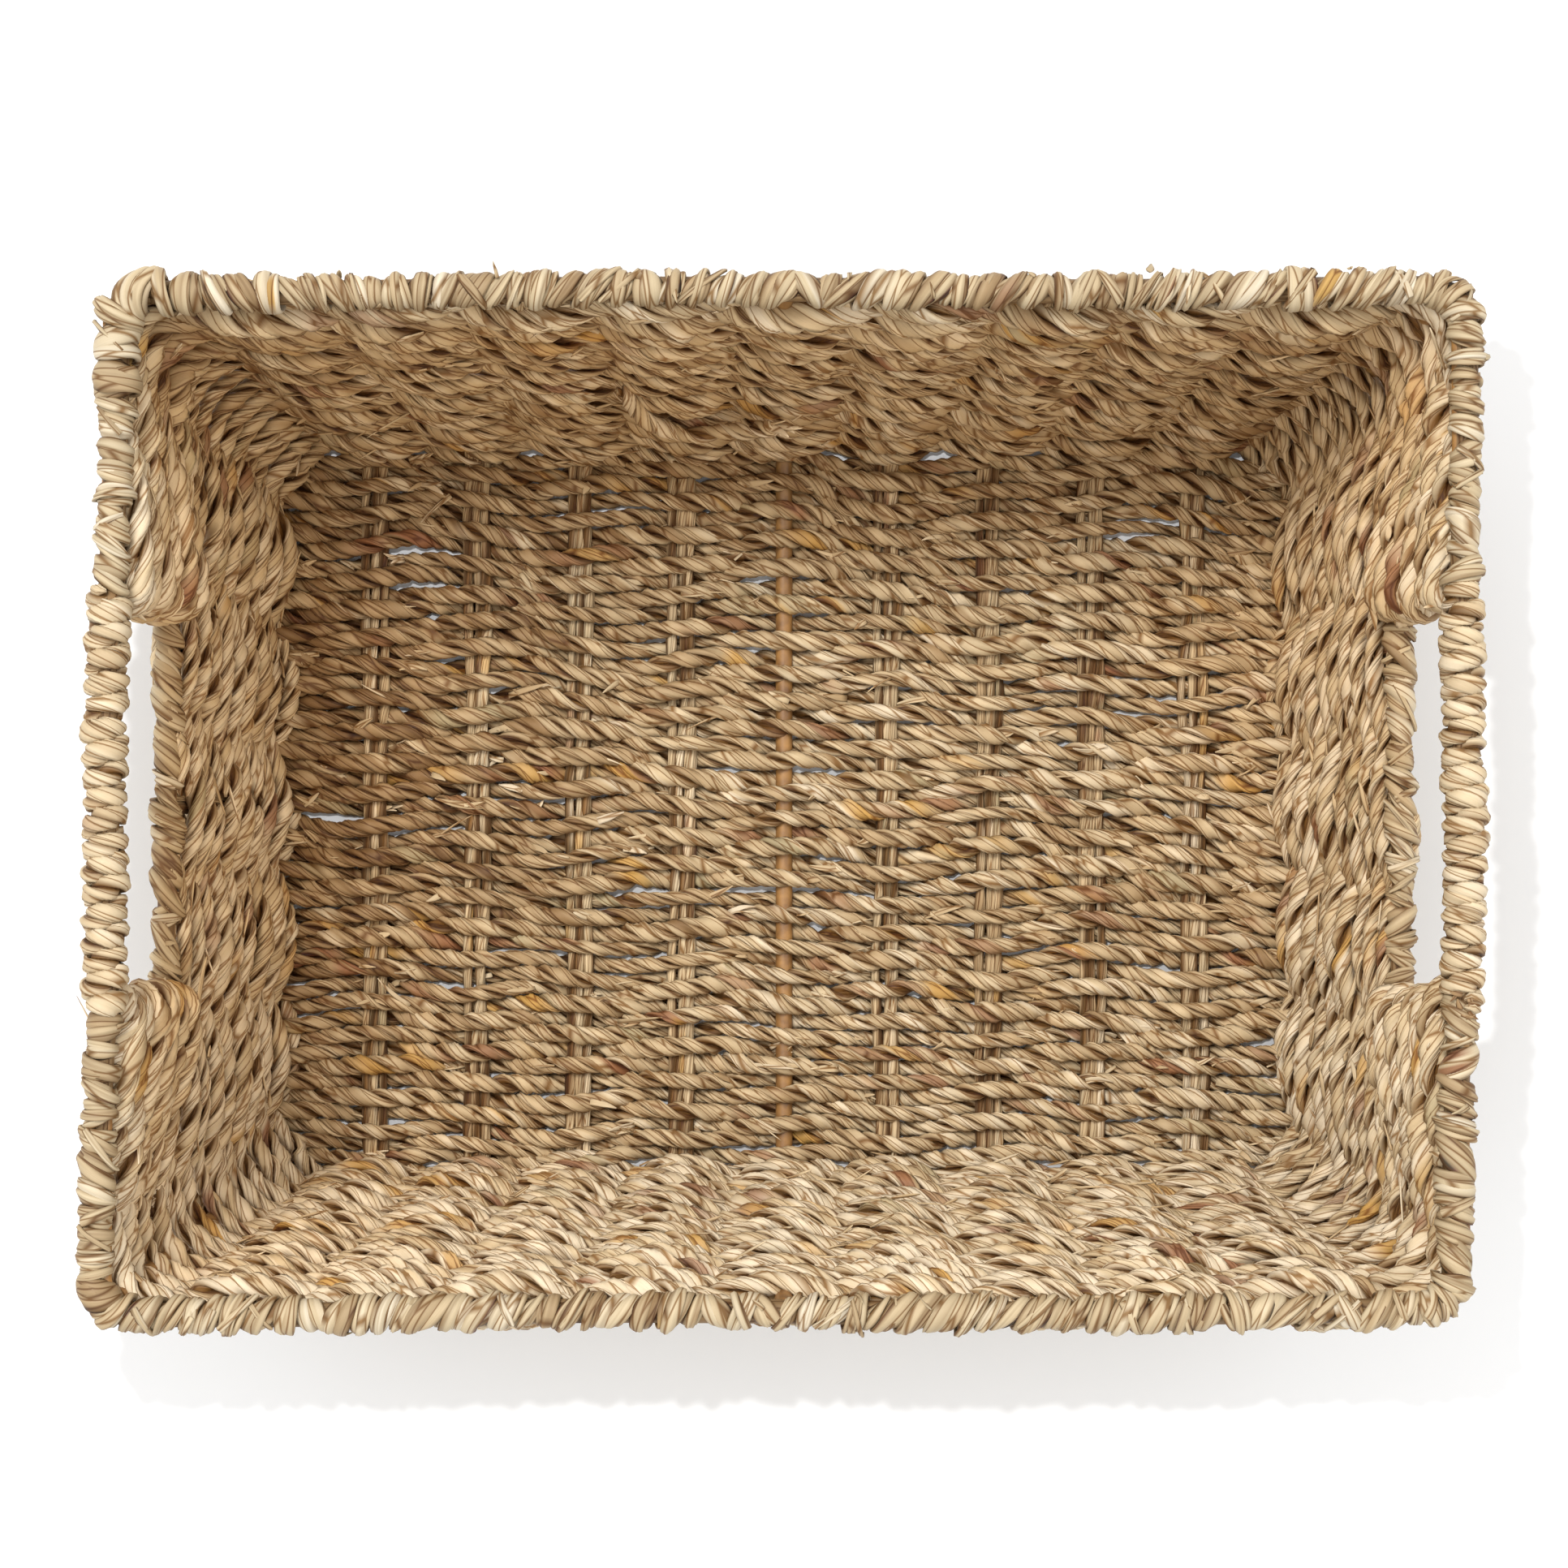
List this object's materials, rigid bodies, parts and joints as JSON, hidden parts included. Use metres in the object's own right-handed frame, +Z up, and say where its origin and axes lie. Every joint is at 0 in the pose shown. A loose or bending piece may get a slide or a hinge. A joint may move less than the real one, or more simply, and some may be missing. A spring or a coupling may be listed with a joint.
{
  "type": "storage basket",
  "caption": "Rectangular open-topped storage basket of woven seagrass rope on a wire frame, with tapered sides, a wrapped rim and a hand-hold slot in each short side.",
  "frame": {"origin": "centre of the underside, on the surface that the basket stands on", "axes": "+X along the length, from one hand-hold to the other, +Y from front to back, +Z up"},
  "size_m": [0.4, 0.305, 0.152],
  "materials": {
    "seagrass_rope": "dry two-ply seagrass rope, natural tan with darker and yellow strands",
    "leaf_strip": "flat dry leaf strip, pale straw with darker creases",
    "stake_cord": "fine-fibred dry cord, pale straw",
    "brown_rod": "brown paint, satin",
    "frame_wire": "brown paint, satin"
  },
  "bodies": {
    "root": {"base_weave": "seagrass_rope", "bottom_hoop": "frame_wire", "centre_rod": "brown_rod", "corner_post_left_back": "frame_wire", "corner_post_left_front": "frame_wire", "corner_post_right_back": "frame_wire", "corner_post_right_front": "frame_wire", "handle_wire_left": "frame_wire", "handle_wire_right": "frame_wire", "handle_wrap_left": "leaf_strip", "handle_wrap_right": "leaf_strip", "long_stake_1": "stake_cord", "long_stake_2": "stake_cord", "long_stake_3": "stake_cord", "long_stake_4": "stake_cord", "long_stake_5": "stake_cord", "long_stake_6": "stake_cord", "long_stake_7": "stake_cord", "long_stake_8": "stake_cord", "rim_corner_wrap_left_back": "leaf_strip", "rim_corner_wrap_left_front": "leaf_strip", "rim_corner_wrap_right_back": "leaf_strip", "rim_corner_wrap_right_front": "leaf_strip", "rim_wire": "frame_wire", "rim_wrap_back": "leaf_strip", "rim_wrap_front": "leaf_strip", "rim_wrap_left_back": "leaf_strip", "rim_wrap_left_front": "leaf_strip", "rim_wrap_right_back": "leaf_strip", "rim_wrap_right_front": "leaf_strip", "short_stake_left_1": "stake_cord", "short_stake_left_2": "stake_cord", "short_stake_left_3": "stake_cord", "short_stake_left_4": "stake_cord", "short_stake_left_5": "stake_cord", "short_stake_right_1": "stake_cord", "short_stake_right_2": "stake_cord", "short_stake_right_3": "stake_cord", "short_stake_right_4": "stake_cord", "short_stake_right_5": "stake_cord", "sill_wrap_left": "leaf_strip", "sill_wrap_right": "leaf_strip", "wall_weave_back": "seagrass_rope", "wall_weave_front": "seagrass_rope", "wall_weave_left": "seagrass_rope", "wall_weave_right": "seagrass_rope"}
  },
  "joints": []
}
